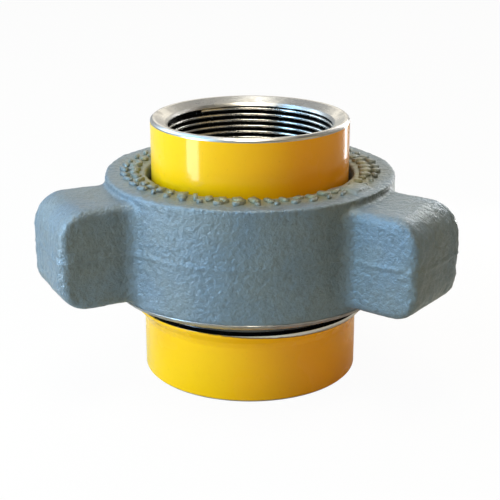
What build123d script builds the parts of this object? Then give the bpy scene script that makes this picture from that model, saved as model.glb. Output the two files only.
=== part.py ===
"""Three-inch hammer union: a threaded sub, a seal ring, a nose sub and a three-lug wing nut.

Millimetres, +Z up. The threaded sub stands on Z = 0 and the nose sub points up out of the wing nut.
The nut's Acme thread pulls the cone of the nose sub down into the seat of the threaded sub.
"""

import os
from math import cos, hypot, radians, sqrt, tan

from build123d import *

os.makedirs("parts", exist_ok=True)

# Driving dimensions
UNION_HEIGHT = 134.0  # from the foot of the threaded sub to the rim of the nose sub
FLOW_BORE_R = 39.0  # the clear bore through both subs
CLEARANCE = 0.4  # between faces that slide or turn on each other
RIM_BEVEL = 1.2  # outer edge of both free ends
OVERCUT = 1.0  # how far a cutting profile stands past the metal

# Three-inch line pipe thread, tapped in the free end of each sub
PIPE_RECESS_R = 46.4  # edge of the countersink in the rim
PIPE_RECESS_DEPTH = 3.4
PIPE_THREAD_R = 43.8  # mean radius of the thread's root
PIPE_THREAD_LENGTH = 25.4
PIPE_END_DEPTH = PIPE_RECESS_DEPTH + PIPE_THREAD_LENGTH
PIPE_RUNOUT_DEPTH = PIPE_END_DEPTH + PIPE_THREAD_R - FLOW_BORE_R

# Union thread: four turns to the inch, Acme form
UNION_PITCH = 6.35
UNION_CREST_R = 61.0
UNION_DEPTH = 3.3
UNION_ROOT_R = UNION_CREST_R - UNION_DEPTH
UNION_FLANK = tan(radians(14.5))
UNION_CREST_HALF = 0.3707 * UNION_PITCH / 2  # half the flat on top of the sub's ridge
SUB_GROOVE_TURNS = 5
NUT_GROOVE_TURNS = 6

# Threaded sub
LOWER_BARREL_R = 55.9
LOWER_BARREL_TOP = 33.6
COLLAR_FOOT = 38.4  # the full thread diameter starts here
COLLAR_EASE = 2.4  # how softly the barrel runs into the collar's cone
RELIEF_FOOT = 40.2
RELIEF_TOP = 44.4
RELIEF_DEPTH = UNION_DEPTH + 0.15
LOWER_TOP = 68.0
LOWER_BLANK_TOP = 82.0  # the groove runs out here, above the finished end
LOWER_LEAD = 0.4  # the bevel on the thread's first turn goes this far below the root
SEAT_FOOT = 46.0
SEAT_ANGLE = radians(25)  # conical seat, measured from the axis
SEAT_SLOPE = tan(SEAT_ANGLE)
SEAT_MOUTH_R = FLOW_BORE_R + (LOWER_TOP - SEAT_FOOT) * SEAT_SLOPE

# Seal ring, held in a groove of the conical seat; its inner face follows the seat
SEAL_Z = 58.0
SEAL_GROOVE_R = 49.8
SEAL_GROOVE_HALF = 2.6
SEAL_PLAY = 0.05
SEAL_HALF = SEAL_GROOVE_HALF - SEAL_PLAY
SEAL_BACK_R = SEAL_GROOVE_R - SEAL_PLAY
SEAL_MID_R = FLOW_BORE_R + (SEAL_Z - SEAT_FOOT) * SEAT_SLOPE + SEAL_PLAY
SEAL_LIP_BEVEL = 0.8
SEAL_LIP_HALF = SEAL_HALF - SEAL_LIP_BEVEL

# Nose sub
UPPER_BARREL_R = 50.8
SHOULDER_R = 57.8
SHOULDER_FOOT = 70.5
SHOULDER_TOP = 84.2
SHOULDER_NECK_BEVEL = 1.5
SHOULDER_FOOT_BEVEL = 1.2
SHOULDER_SLOPE = tan(radians(40))  # the face the nut pulls on, above the horizontal
SHOULDER_NECK = SHOULDER_TOP + (SHOULDER_R - UPPER_BARREL_R) * SHOULDER_SLOPE
NOSE_TIP = 50.0
NOSE_ALLOWANCE = CLEARANCE / cos(SEAT_ANGLE)
NOSE_TIP_R = FLOW_BORE_R + (NOSE_TIP - SEAT_FOOT) * SEAT_SLOPE - NOSE_ALLOWANCE
NOSE_ROOT_R = FLOW_BORE_R + (SHOULDER_FOOT - SEAT_FOOT) * SEAT_SLOPE - NOSE_ALLOWANCE

# Wing nut
NUT_R = 74.4
NUT_FOOT = 45.7
NUT_FOOT_BEVEL = 3.0  # machined bare
NUT_TOP = 105.9
NUT_BLANK_FOOT = 30.0
NUT_RIM_BEVEL = 1.0
NUT_NECK_R = 52.2
NUT_NECK_MOUTH_R = 53.7
NUT_NECK_MOUTH_DEPTH = 5.0
NUT_MINOR_R = UNION_ROOT_R + 0.6
NUT_MAJOR_R = UNION_CREST_R + CLEARANCE
NUT_ENTRY_R = NUT_MAJOR_R + 0.8
NUT_ENTRY_TOP = NUT_FOOT + 4.6  # where the entry bevel meets the overcut bore
NUT_CHAMBER_R = NUT_MAJOR_R + 0.6
NUT_THREAD_TOP = 70.0
NUT_CHAMBER_FOOT = 72.0
NUT_CHAMBER_TOP = 84.0
NUT_CHAMBER_RISE = (NUT_CHAMBER_R - NUT_MINOR_R + OVERCUT) * SHOULDER_SLOPE
NUT_CONE_TOP = NUT_CHAMBER_TOP + (NUT_CHAMBER_R - NUT_NECK_R) * SHOULDER_SLOPE

# Acme groove of the sub, and its ridge with clearance as the nut's groove
GROOVE_START = (RELIEF_FOOT + RELIEF_TOP) / 2
GROOVE_ROOT_HALF = UNION_PITCH / 2 - UNION_CREST_HALF - UNION_DEPTH * UNION_FLANK
GROOVE_MOUTH_HALF = UNION_PITCH / 2 - UNION_CREST_HALF + OVERCUT * UNION_FLANK
RIDGE_START = GROOVE_START - UNION_PITCH / 2
RIDGE_CREST_HALF = UNION_CREST_HALF - CLEARANCE * UNION_FLANK + CLEARANCE
RIDGE_ROOT_HALF = UNION_CREST_HALF + (UNION_DEPTH + CLEARANCE) * UNION_FLANK + CLEARANCE

# Hammer lugs, forged in one with the nut
LUG_COUNT = 3
LUG_TIP_X = 109.8
LUG_ROOT_HALF_WIDTH = 21.1
LUG_TIP_HALF_WIDTH = 22.7
LUG_FOOT = 51.0
LUG_TOP = 101.6
LUG_TOP_ROUND = 15.5
LUG_FOOT_ROUND = 14.0
LUG_ROOT_ROUND = 10.0
LUG_ROOT_TURN = -78  # degrees of that arc
LUG_ROOT_SINK = 0.3  # the arc ends this deep in the round wall, so that the two surfaces cross
LUG_EDGE_ROUND = 4.5
LUG_WEB_ROUND = 2.4
LUG_ROOT_REACH = NUT_R + LUG_ROOT_ROUND - LUG_ROOT_SINK
LUG_ROOT_X = sqrt(LUG_ROOT_REACH**2 - (LUG_ROOT_HALF_WIDTH + LUG_ROOT_ROUND) ** 2)


def ring_at(edge: Edge, radius: float, height: float) -> bool:
    """Tell whether an edge is the full circle of this radius at this height."""
    at_height = abs(edge.center().Z - height) < 0.05
    return edge.geom_type == GeomType.CIRCLE and at_height and abs(edge.radius - radius) < 0.05


# Threaded sub: turned blank, left long so that the thread runs off its end, then cut to length
with BuildPart() as threaded_sub:
    with BuildSketch(Plane.XZ):
        with BuildLine():
            Polyline(
                (PIPE_RECESS_R, 0),
                (LOWER_BARREL_R - RIM_BEVEL, 0),
                (LOWER_BARREL_R, RIM_BEVEL),
                (LOWER_BARREL_R, LOWER_BARREL_TOP - COLLAR_EASE),
                (LOWER_BARREL_R + COLLAR_EASE / 2, LOWER_BARREL_TOP + COLLAR_EASE / 4),
                (UNION_CREST_R, COLLAR_FOOT),
                (UNION_CREST_R, LOWER_BLANK_TOP),
                (SEAT_MOUTH_R, LOWER_BLANK_TOP),
                (SEAT_MOUTH_R, LOWER_TOP),
                (FLOW_BORE_R, SEAT_FOOT),
                (FLOW_BORE_R, PIPE_RUNOUT_DEPTH),
                (PIPE_THREAD_R, PIPE_END_DEPTH),
                (PIPE_THREAD_R, PIPE_RECESS_DEPTH),
                close=True,
            )
        make_face()
    revolve(axis=Axis.Z)

    # Acme groove
    with BuildLine() as groove_path:
        Helix(UNION_PITCH, SUB_GROOVE_TURNS * UNION_PITCH, UNION_ROOT_R, center=(0, 0, GROOVE_START))
    with BuildSketch(Plane.XZ):
        with BuildLine():
            Polyline(
                (UNION_ROOT_R, GROOVE_START - GROOVE_ROOT_HALF),
                (UNION_ROOT_R, GROOVE_START + GROOVE_ROOT_HALF),
                (UNION_CREST_R + OVERCUT, GROOVE_START + GROOVE_MOUTH_HALF),
                (UNION_CREST_R + OVERCUT, GROOVE_START - GROOVE_MOUTH_HALF),
                close=True,
            )
        make_face()
    sweep(path=groove_path.wires()[0], is_frenet=True, mode=Mode.SUBTRACT)

    # end faced and bevelled, relief below the thread, groove for the seal ring
    with BuildSketch(Plane.XZ):
        with BuildLine():
            Polyline(
                (SEAT_MOUTH_R - OVERCUT, LOWER_TOP),
                (UNION_ROOT_R - LOWER_LEAD, LOWER_TOP),
                (UNION_CREST_R, LOWER_TOP - UNION_DEPTH),
                (UNION_CREST_R + OVERCUT, LOWER_TOP - UNION_DEPTH),
                (UNION_CREST_R + OVERCUT, LOWER_BLANK_TOP + OVERCUT),
                (SEAT_MOUTH_R - OVERCUT, LOWER_BLANK_TOP + OVERCUT),
                close=True,
            )
        make_face()
        with Locations((UNION_CREST_R, (RELIEF_FOOT + RELIEF_TOP) / 2)):
            Rectangle(2 * RELIEF_DEPTH, RELIEF_TOP - RELIEF_FOOT)
        with Locations(((FLOW_BORE_R + SEAL_GROOVE_R) / 2, SEAL_Z)):
            Rectangle(SEAL_GROOVE_R - FLOW_BORE_R, 2 * SEAL_GROOVE_HALF)
    revolve(axis=Axis.Z, mode=Mode.SUBTRACT)
threaded_sub.part.label = "threaded_sub"

# Seal ring: flat back and sides, and an inner face that carries on the slope of the seat
with BuildPart() as seal_ring:
    with BuildSketch(Plane.XZ):
        with BuildLine():
            Polyline(
                (SEAL_BACK_R, SEAL_Z - SEAL_HALF),
                (SEAL_BACK_R, SEAL_Z + SEAL_HALF),
                (SEAL_MID_R + SEAL_HALF * SEAT_SLOPE + SEAL_LIP_BEVEL, SEAL_Z + SEAL_HALF),
                (SEAL_MID_R + SEAL_LIP_HALF * SEAT_SLOPE, SEAL_Z + SEAL_LIP_HALF),
                (SEAL_MID_R - SEAL_HALF * SEAT_SLOPE, SEAL_Z - SEAL_HALF),
                close=True,
            )
        make_face()
    revolve(axis=Axis.Z)
seal_ring.part.label = "seal_ring"

# Nose sub: barrel, shoulder, conical nose and pipe bore
with BuildPart() as nose_sub:
    with BuildSketch(Plane.XZ):
        with BuildLine():
            Polyline(
                (PIPE_RECESS_R, UNION_HEIGHT),
                (UPPER_BARREL_R - RIM_BEVEL, UNION_HEIGHT),
                (UPPER_BARREL_R, UNION_HEIGHT - RIM_BEVEL),
                (UPPER_BARREL_R, SHOULDER_NECK),
                (SHOULDER_R, SHOULDER_TOP),
                (SHOULDER_R, SHOULDER_FOOT),
                (NOSE_ROOT_R, SHOULDER_FOOT),
                (NOSE_TIP_R, NOSE_TIP),
                (FLOW_BORE_R, NOSE_TIP),
                (FLOW_BORE_R, UNION_HEIGHT - PIPE_RUNOUT_DEPTH),
                (PIPE_THREAD_R, UNION_HEIGHT - PIPE_END_DEPTH),
                (PIPE_THREAD_R, UNION_HEIGHT - PIPE_RECESS_DEPTH),
                close=True,
            )
        make_face()
    revolve(axis=Axis.Z)
    chamfer(nose_sub.edges().filter_by(lambda e: ring_at(e, UPPER_BARREL_R, SHOULDER_NECK)), SHOULDER_NECK_BEVEL)
    chamfer(nose_sub.edges().filter_by(lambda e: ring_at(e, SHOULDER_R, SHOULDER_FOOT)), SHOULDER_FOOT_BEVEL)
nose_sub.part.label = "nose_sub"

# One hammer lug, pointing along +X: its plan cut by its side outline, then rounded
with BuildPart() as lug:
    with BuildSketch(Plane.XY.offset(LUG_FOOT)):
        with BuildLine():
            flank = Line((LUG_TIP_X, LUG_TIP_HALF_WIDTH), (LUG_ROOT_X, LUG_ROOT_HALF_WIDTH))
            root = JernArc(flank @ 1, flank % 1, LUG_ROOT_ROUND, LUG_ROOT_TURN)
            heel = Line(root @ 1, (NUT_CHAMBER_R, (root @ 1).Y))
            Line(heel @ 1, (NUT_CHAMBER_R, 0))
            mirror(about=Plane.XZ)
            Line((LUG_TIP_X, LUG_TIP_HALF_WIDTH), (LUG_TIP_X, -LUG_TIP_HALF_WIDTH))
        make_face()
    extrude(amount=LUG_TOP - LUG_FOOT)
    with BuildSketch(Plane.XZ):
        with BuildLine():
            crown = Line((0, LUG_TOP), (LUG_TIP_X - LUG_TOP_ROUND, LUG_TOP))
            brow = JernArc(crown @ 1, (1, 0), LUG_TOP_ROUND, -90)
            face = Line(brow @ 1, (LUG_TIP_X, LUG_FOOT + LUG_FOOT_ROUND))
            chin = JernArc(face @ 1, (0, -1), LUG_FOOT_ROUND, -90)
            Polyline(chin @ 1, (0, LUG_FOOT), (0, LUG_TOP))
        make_face()
    extrude(amount=2 * LUG_TIP_HALF_WIDTH, both=True, mode=Mode.INTERSECT)
    flank_rims = lug.edges().filter_by(
        lambda e: e.center().X > NUT_CHAMBER_R + 5
        and abs(e.center().Y) > LUG_ROOT_HALF_WIDTH / 2
        and (e.center().X > LUG_TIP_X - 1 or abs(e.tangent_at(0.5).Z) < 0.99)
    )
    fillet(flank_rims, LUG_EDGE_ROUND)

# Wing nut: round body, left long at the foot so that the thread runs off it, then lugs and turning
with BuildPart() as wing_nut:
    with BuildSketch(Plane.XZ):
        with BuildLine():
            Polyline(
                (NUT_MINOR_R, NUT_BLANK_FOOT),
                (NUT_R, NUT_BLANK_FOOT),
                (NUT_R, NUT_TOP),
                (NUT_NECK_MOUTH_R, NUT_TOP),
                (NUT_NECK_R, NUT_TOP - NUT_NECK_MOUTH_DEPTH),
                (NUT_NECK_R, NUT_CONE_TOP),
                (NUT_MINOR_R, NUT_CONE_TOP - (NUT_MINOR_R - NUT_NECK_R) * SHOULDER_SLOPE),
                close=True,
            )
        make_face()
    revolve(axis=Axis.Z)
    chamfer(wing_nut.edges().filter_by(lambda e: ring_at(e, NUT_R, NUT_TOP)), NUT_RIM_BEVEL)

    # the sub's ridge, with running clearance all round, is the nut's groove
    with BuildLine() as ridge_path:
        Helix(UNION_PITCH, NUT_GROOVE_TURNS * UNION_PITCH, NUT_MINOR_R, center=(0, 0, RIDGE_START))
    with BuildSketch(Plane.XZ):
        with BuildLine():
            Polyline(
                (NUT_MAJOR_R, RIDGE_START - RIDGE_CREST_HALF),
                (NUT_MAJOR_R, RIDGE_START + RIDGE_CREST_HALF),
                (UNION_ROOT_R - CLEARANCE, RIDGE_START + RIDGE_ROOT_HALF),
                (UNION_ROOT_R - CLEARANCE, RIDGE_START - RIDGE_ROOT_HALF),
                close=True,
            )
        make_face()
    sweep(path=ridge_path.wires()[0], is_frenet=True, mode=Mode.SUBTRACT)

    # foot faced and bevelled, entry bevel, chamber for the shoulder above the thread
    with BuildSketch(Plane.XZ):
        with BuildLine():
            Polyline(
                (NUT_MINOR_R - OVERCUT, NUT_BLANK_FOOT - OVERCUT),
                (NUT_R + OVERCUT, NUT_BLANK_FOOT - OVERCUT),
                (NUT_R + OVERCUT, NUT_FOOT + NUT_FOOT_BEVEL + OVERCUT),
                (NUT_R - NUT_FOOT_BEVEL, NUT_FOOT),
                (NUT_ENTRY_R, NUT_FOOT),
                (NUT_MINOR_R - OVERCUT, NUT_ENTRY_TOP),
                close=True,
            )
        make_face()
        with BuildLine():
            Polyline(
                (NUT_MINOR_R - OVERCUT, NUT_THREAD_TOP),
                (NUT_MINOR_R, NUT_THREAD_TOP),
                (NUT_CHAMBER_R, NUT_CHAMBER_FOOT),
                (NUT_CHAMBER_R, NUT_CHAMBER_TOP),
                (NUT_MINOR_R - OVERCUT, NUT_CHAMBER_TOP + NUT_CHAMBER_RISE),
                close=True,
            )
        make_face()
    revolve(axis=Axis.Z, mode=Mode.SUBTRACT)

    # lugs, and the round where the rim stands above them
    with PolarLocations(0, LUG_COUNT, start_angle=90):
        add(lug.part)
    web_edges = wing_nut.edges().filter_by(
        lambda e: abs(e.center().Z - LUG_TOP) < 0.6
        and abs(hypot(e.center().X, e.center().Y) - NUT_R) < 1.5
    )
    fillet(web_edges, LUG_WEB_ROUND)
wing_nut.part.label = "wing_nut"

export_step(threaded_sub.part, "parts/threaded_sub.step")
export_step(seal_ring.part, "parts/seal_ring.step")
export_step(nose_sub.part, "parts/nose_sub.step")
export_step(wing_nut.part, "parts/wing_nut.step")
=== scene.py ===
"""Dresses a three-inch hammer union: turned subs, tapped mouths, cast wing nut and their finishes.

Lengths in the pieces' classes are millimetres, as on a shop drawing, and meshes are made in metres.
The studio is laid out in metres.
"""

import logging
import math
from dataclasses import dataclass, field
from enum import Enum
from typing import Any, Callable, Iterable, Sequence

import bmesh
import bpy
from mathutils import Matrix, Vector, noise


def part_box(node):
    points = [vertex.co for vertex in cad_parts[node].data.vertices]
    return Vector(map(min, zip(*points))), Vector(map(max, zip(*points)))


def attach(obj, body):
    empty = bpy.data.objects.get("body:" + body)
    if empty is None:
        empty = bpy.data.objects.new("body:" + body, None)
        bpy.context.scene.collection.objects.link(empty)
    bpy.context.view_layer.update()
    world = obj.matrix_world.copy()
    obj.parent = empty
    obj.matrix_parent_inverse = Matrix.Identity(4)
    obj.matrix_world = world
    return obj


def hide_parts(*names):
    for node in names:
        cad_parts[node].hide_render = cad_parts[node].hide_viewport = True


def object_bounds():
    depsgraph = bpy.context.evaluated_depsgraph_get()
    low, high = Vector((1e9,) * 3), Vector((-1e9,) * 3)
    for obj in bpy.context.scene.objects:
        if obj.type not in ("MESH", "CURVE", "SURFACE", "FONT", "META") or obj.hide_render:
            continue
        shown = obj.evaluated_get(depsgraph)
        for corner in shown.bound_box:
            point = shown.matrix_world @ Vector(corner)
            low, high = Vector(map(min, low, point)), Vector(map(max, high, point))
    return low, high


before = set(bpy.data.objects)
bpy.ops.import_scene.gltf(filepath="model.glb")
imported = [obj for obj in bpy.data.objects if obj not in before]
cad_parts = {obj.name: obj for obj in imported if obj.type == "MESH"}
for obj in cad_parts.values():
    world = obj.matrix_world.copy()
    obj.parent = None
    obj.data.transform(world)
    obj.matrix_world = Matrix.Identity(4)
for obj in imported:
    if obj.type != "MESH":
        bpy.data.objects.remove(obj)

CAD_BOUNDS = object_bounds()
MM = 0.001
TURN = 2 * math.pi
LATHE_STEPS = 192
RIDGE_STEPS = 128  # spans in each turn of a thread
TURNED_EDGE = math.radians(50)  # edges sharper than this stay sharp
THREAD_EDGE = math.radians(25)
NEAR = 0.1  # slack in telling which stretch of an outline a face is on
MERGE_GAP = 1e-6  # points nearer than this, in metres, become one
log = logging.getLogger("hammer_union")

Point = tuple[float, float]


class Body(Enum):
    """The rigid bodies that the pieces ride on."""

    THREADED_END = "threaded_end"
    NOSE_END = "nose_end"
    NUT = "nut"


class Wall(Enum):
    """Which way a thread ridge stands from its wall."""

    OUTWARD = 1.0
    INWARD = -1.0


class Zone(Enum):
    """Which of a turned sub's finishes a stretch of its outline takes."""

    PAINTED = 0
    BARE = 1
    THREADED = 2


# ---------------------------------------------------------------- node helpers


class Wire:
    """A socket that takes part in Python arithmetic by adding Math nodes."""

    def __init__(self, graph: "Graph", socket: bpy.types.NodeSocket) -> None:
        """Wrap an output socket of a graph.

        Args:
            graph: the graph that the Math nodes are added to.
            socket: the socket that the wire stands for.
        """
        self.graph = graph
        self.socket = socket

    def _math(self, operation: str, first: Any, second: Any = 0.0) -> "Wire":
        """Add one Math node on two values."""
        return self.graph.node("ShaderNodeMath", {"operation": operation}, {0: first, 1: second})

    def __add__(self, other: Any) -> "Wire":
        """self + other."""
        return self._math("ADD", self, other)

    def __radd__(self, other: Any) -> "Wire":
        """other + self."""
        return self._math("ADD", other, self)

    def __sub__(self, other: Any) -> "Wire":
        """self - other."""
        return self._math("SUBTRACT", self, other)

    def __rsub__(self, other: Any) -> "Wire":
        """other - self."""
        return self._math("SUBTRACT", other, self)

    def __mul__(self, other: Any) -> "Wire":
        """self * other."""
        return self._math("MULTIPLY", self, other)

    def __rmul__(self, other: Any) -> "Wire":
        """other * self."""
        return self._math("MULTIPLY", other, self)

    def __truediv__(self, other: Any) -> "Wire":
        """self / other."""
        return self._math("DIVIDE", self, other)

    def __abs__(self) -> "Wire":
        """The size of self."""
        return self._math("ABSOLUTE", self)

    def step(self, low: float, high: float) -> "Wire":
        """Rise smoothly from 0 at low to 1 at high.

        Args:
            low: value where the mask starts.
            high: value where the mask is full.

        Returns:
            The mask as a wire.
        """
        return self.graph.node(
            "ShaderNodeMapRange",
            {"interpolation_type": "SMOOTHSTEP"},
            {"Value": self, "From Min": low, "From Max": high},
        )


class Graph:
    """A node tree with one method that adds any node."""

    def __init__(self, tree: bpy.types.NodeTree) -> None:
        """Start from an empty tree."""
        self.tree = tree
        tree.nodes.clear()

    def node(self, kind: str, settings: dict | None = None, inputs: dict | None = None, out: Any = 0) -> Wire:
        """Add a node, apply its settings, then fill or link its inputs.

        Args:
            kind: node type.
            settings: the node's attributes.
            inputs: socket name or index to a value or a wire.
            out: which output to return.

        Returns:
            The chosen output as a wire.
        """
        made = self.tree.nodes.new(kind)
        for name, value in (settings or {}).items():
            setattr(made, name, value)
        for name, value in (inputs or {}).items():
            if isinstance(value, Wire):
                self.tree.links.new(value.socket, made.inputs[name])
            else:
                made.inputs[name].default_value = value
        return Wire(self, made.outputs[out] if len(made.outputs) else None)

    def mix(self, mask: Wire, low: Any, high: Any) -> Wire:
        """Blend two colours by a mask.

        Args:
            mask: 0 gives low and 1 gives high.
            low: first colour.
            high: second colour.

        Returns:
            The blended colour.
        """
        return self.node(
            "ShaderNodeMix",
            {"data_type": "RGBA"},
            {"Factor": mask, 6: low, 7: high},
            out=2,
        )

    def grain(self, place: Wire, per_mm: float, detail: float = 3.0, rough: float = 0.55) -> Wire:
        """Add noise with about per_mm features to the millimetre.

        Args:
            place: coordinates in metres.
            per_mm: features to the millimetre.
            detail: octaves.
            rough: how strong the finer octaves are.

        Returns:
            The noise, from 0 to 1.
        """
        return self.node(
            "ShaderNodeTexNoise",
            {},
            {"Vector": place, "Scale": per_mm / MM, "Detail": detail, "Roughness": rough},
        )

    def bump(self, height: Wire, depth: float, onto: Wire | None = None) -> Wire:
        """Turn a height of 0 to 1 into a normal.

        Args:
            height: the relief.
            depth: millimetres from low to high.
            onto: a finer normal that the relief is laid on.

        Returns:
            The normal.
        """
        inputs = {"Height": height, "Distance": depth * MM, "Strength": 1.0}
        if onto is not None:
            inputs["Normal"] = onto
        return self.node("ShaderNodeBump", {}, inputs)


class Finish:
    """Base of every finish: makes one named material."""

    name: str

    def build(self) -> bpy.types.Material:
        """Make the material and its shader."""
        material = bpy.data.materials.new(self.name)
        material.use_nodes = True
        graph = Graph(material.node_tree)
        place = graph.node("ShaderNodeTexCoord", out="Object")
        shader = self.shade(graph, place)
        graph.node("ShaderNodeOutputMaterial", {}, {"Surface": shader})
        return material

    def shade(self, graph: Graph, place: Wire) -> Wire:
        """Return the surface shader; each finish writes its own.

        Args:
            graph: the material's nodes.
            place: Object coordinates.

        Returns:
            The surface shader.
        """
        raise NotImplementedError


def axis_parts(graph: Graph, place: Wire) -> tuple[Wire, Wire, Wire, Wire]:
    """Split a place into x, y, z and the radius from the axis.

    Args:
        graph: the nodes to add to.
        place: coordinates in metres.

    Returns:
        The four lengths in millimetres.
    """
    split = graph.tree.nodes.new("ShaderNodeSeparateXYZ")
    graph.tree.links.new(place.socket, split.inputs[0])
    x, y, z = (Wire(graph, split.outputs[i]) / MM for i in range(3))
    radius = graph.node("ShaderNodeMath", {"operation": "SQRT"}, {0: x * x + y * y})
    return x, y, z, radius


@dataclass(frozen=True)
class GlossEnamel(Finish):
    """Yellow enamel over steel, with an orange peel, dark flecks and painted shade that turns it orange
    towards +X.
    """

    name: str = "yellow_enamel"
    colour: tuple = (0.76, 0.42, 0.0, 1)
    # painted shade: the orange that the enamel takes on the +X side, which is in shade
    shaded_side: tuple = (0.84, 0.33, 0.0, 1)
    # dark flecks in the enamel, and the painted shade along the paint's edge
    edge: tuple = (0.09, 0.055, 0.012, 1)
    bare: tuple = (0.56, 0.54, 0.51, 1)
    bare_above: float = 37.5  # height of the bare edge under the nut, on the axis
    bare_below: float = 60.0  # higher up there is no bare edge
    tilt: float = 0.05  # the edge drops this much for each millimetre towards +X
    wander: float = 0.9
    edge_shade_half: float = 0.75  # half width of the painted shade along the paint's edge
    side_shade_from: float = -45.0  # painted shade: the enamel shifts to the shaded side's orange along X from here
    side_shade_to: float = 60.0
    peel_depth: float = 0.035

    def shade(self, graph: Graph, place: Wire) -> Wire:
        """Mix enamel with the bare crescent left by the masking under the nut.

        Args:
            graph: the material's nodes.
            place: Object coordinates.

        Returns:
            The surface shader.
        """
        x, _, z, _ = axis_parts(graph, place)
        stray = (graph.grain(place, 0.35, 2.0) - 0.5) * self.wander
        height = z + x * self.tilt + stray - self.bare_above
        lower = 1 - (z - self.bare_below).step(-0.5, 0.5)
        bare = height.step(-0.15, 0.15) * lower
        # painted shade: a dark line along the paint's edge, where its step would throw shade
        edge_shade = (1 - abs(height).step(0.1, self.edge_shade_half)) * lower
        cloud = graph.grain(place, 0.03, 3.0).step(0.35, 0.75)
        fleck = graph.grain(place, 0.9, 2.0).step(0.66, 0.74)
        # painted shade: the enamel turns orange towards +X, where it is in shade
        side_shade = (x + cloud * 12.0).step(self.side_shade_from, self.side_shade_to)
        paint = graph.mix(side_shade, self.colour, self.shaded_side)
        paint = graph.mix(fleck * 0.12, paint, self.edge)
        colour = graph.mix(bare, paint, self.bare)
        colour = graph.mix(edge_shade * 0.8, colour, self.edge)
        peel = graph.grain(place, 0.45, 2.0, 0.4)
        return graph.node(
            "ShaderNodeBsdfPrincipled",
            {},
            {
                "Base Color": colour,
                "Metallic": bare * 0.9,
                "Roughness": 0.24 + cloud * 0.06 + bare * 0.08,
                "Specular IOR Level": 0.06,
                "Coat Weight": 0.4,
                "Coat Roughness": 0.09,
                "Normal": graph.bump(peel, self.peel_depth),
            },
        )


@dataclass(frozen=True)
class TurnedSteel(Finish):
    """Bare steel with the fine rings that a lathe tool leaves."""

    name: str = "turned_steel"
    colour: tuple = (0.44, 0.43, 0.41, 1)
    stain: tuple = (0.33, 0.31, 0.28, 1)
    rings_per_mm: float = 2.6
    ring_depth: float = 0.035

    def shade(self, graph: Graph, place: Wire) -> Wire:
        """Let the rings follow radius and height together, so that faces and bores both show them.

        Args:
            graph: the material's nodes.
            place: Object coordinates.

        Returns:
            The surface shader.
        """
        _, _, z, radius = axis_parts(graph, place)
        ring_place = graph.node("ShaderNodeCombineXYZ", {}, {0: radius * MM, 1: z * MM, 2: 0.0})
        rings = graph.grain(ring_place, self.rings_per_mm, 2.0, 0.7)
        patch = graph.grain(place, 0.12, 4.0).step(0.45, 0.72)
        return graph.node(
            "ShaderNodeBsdfPrincipled",
            {},
            {
                "Base Color": graph.mix(patch * 0.7, self.colour, self.stain),
                "Metallic": 0.95,
                "Roughness": 0.24 + patch * 0.18 + rings * 0.08,
                "Normal": graph.bump(rings, self.ring_depth),
            },
        )


@dataclass(frozen=True)
class NutFootSteel(TurnedSteel):
    """Duller steel on the nut's turned foot."""

    name: str = "nut_foot_steel"
    colour: tuple = (0.36, 0.355, 0.35, 1)
    stain: tuple = (0.16, 0.155, 0.14, 1)


@dataclass(frozen=True)
class ThreadSteel(Finish):
    """Oiled steel in the tapped mouths and on the union thread: bright crests, painted shade near black in
    the roots, and near black all over on the union thread.
    """

    mouth_r: float
    recess_depth: float
    taper: float
    name: str = "thread_steel"
    crest: tuple = (0.66, 0.64, 0.60, 1)
    # painted shade near black in the thread roots
    root: tuple = (0.02, 0.019, 0.018, 1)
    union: tuple = (0.05, 0.05, 0.054, 1)
    root_shade_from: float = 0.9  # height above the root at which the painted shade in the root gives way to bright steel
    root_shade_to: float = 1.9
    union_from_r: float = 50.0

    def shade(self, graph: Graph, place: Wire) -> Wire:
        """Paint shade near black into the thread roots and let the steel show bright where a ridge stands
        proud of the tapered wall.

        Args:
            graph: the material's nodes.
            place: Object coordinates.

        Returns:
            The surface shader.
        """
        _, _, z, radius = axis_parts(graph, place)
        middle = CAD_BOUNDS[1][2] / MM / 2
        depth = middle - abs(z - middle)
        wall_r = self.mouth_r - (depth - self.recess_depth) * self.taper
        # painted shade: dark in the roots, bright steel on the ridges
        clear_of_root_shade = (wall_r - radius).step(self.root_shade_from, self.root_shade_to)
        film = graph.grain(place, 0.12, 4.0).step(0.4, 0.72)
        pipe = graph.mix(clear_of_root_shade * (1 - film * 0.35), self.root, self.crest)
        colour = graph.mix((radius - self.union_from_r).step(-0.5, 0.5), pipe, self.union)
        fine = graph.grain(place, 1.6, 3.0)
        return graph.node(
            "ShaderNodeBsdfPrincipled",
            {},
            {
                "Base Color": colour,
                "Metallic": 0.95,
                "Roughness": 0.21 + film * 0.1,
                "Normal": graph.bump(fine, 0.012),
            },
        )


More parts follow.
